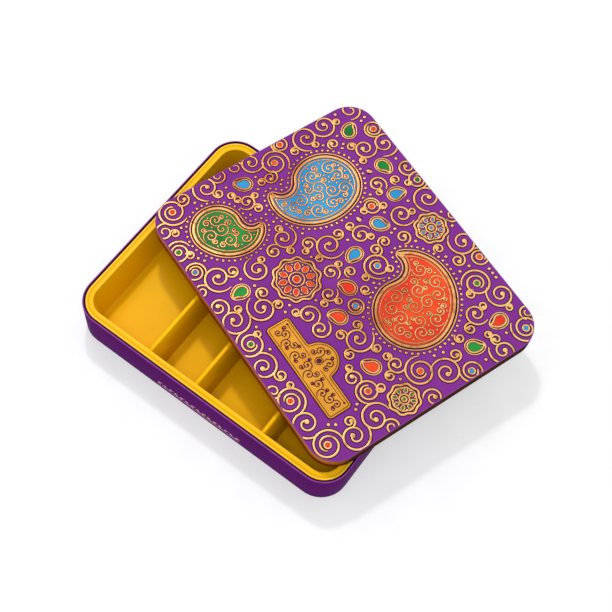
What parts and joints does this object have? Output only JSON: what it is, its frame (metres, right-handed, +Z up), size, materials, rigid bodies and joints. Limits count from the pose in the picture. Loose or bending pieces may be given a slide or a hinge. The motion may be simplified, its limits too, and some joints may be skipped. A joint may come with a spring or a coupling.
{
  "type": "rigid cardboard sweet box",
  "caption": "Shallow rigid board box with round corners, a moulded tray of cells for sweets and a lift-off lid that lies askew on the rim.",
  "frame": {"origin": "centre of the base's underside, on the surface that the box stands on", "axes": "+Z up, +X along the base's long sides, +Y along its short sides towards the back, where the lid overhangs"},
  "size_m": [0.3012, 0.2808, 0.051],
  "materials": {
    "purple_paper": "printed purple paper with a satin film",
    "bronze_paper": "dark bronze metallic paper",
    "grey_board": "raw grey board",
    "kraft_tape": "gummed kraft paper",
    "cream_paper": "uncoated cream lining paper",
    "yellow_tray": "glossy golden yellow moulded sheet",
    "gold_card": "gold foil on card"
  },
  "bodies": {
    "base": {"base_bottom_sheet": "purple_paper", "base_wrap": "purple_paper", "base_wall_board": "grey_board", "base_floor_board": "grey_board", "base_floor_lining": "cream_paper", "base_seam_tape": "kraft_tape"},
    "tray": {"sweet_tray": "yellow_tray"},
    "lid": {"lid_side_wrap": "bronze_paper", "lid_wall_board": "grey_board", "lid_seam_tape": "kraft_tape", "lid_top_board": "grey_board", "lid_top_sheet": "purple_paper", "lid_lining": "cream_paper", "lid_label": "gold_card"}
  },
  "joints": [
    {"name": "tray_lift", "type": "slide", "parent": "base", "child": "tray", "axis": [0, 0, 1], "range_m": [0, 0.045]},
    {"name": "lid_lift", "type": "slide", "parent": "tray", "child": "lid", "axis": [0, 0, 1], "range_m": [0, 0.06]}
  ]
}
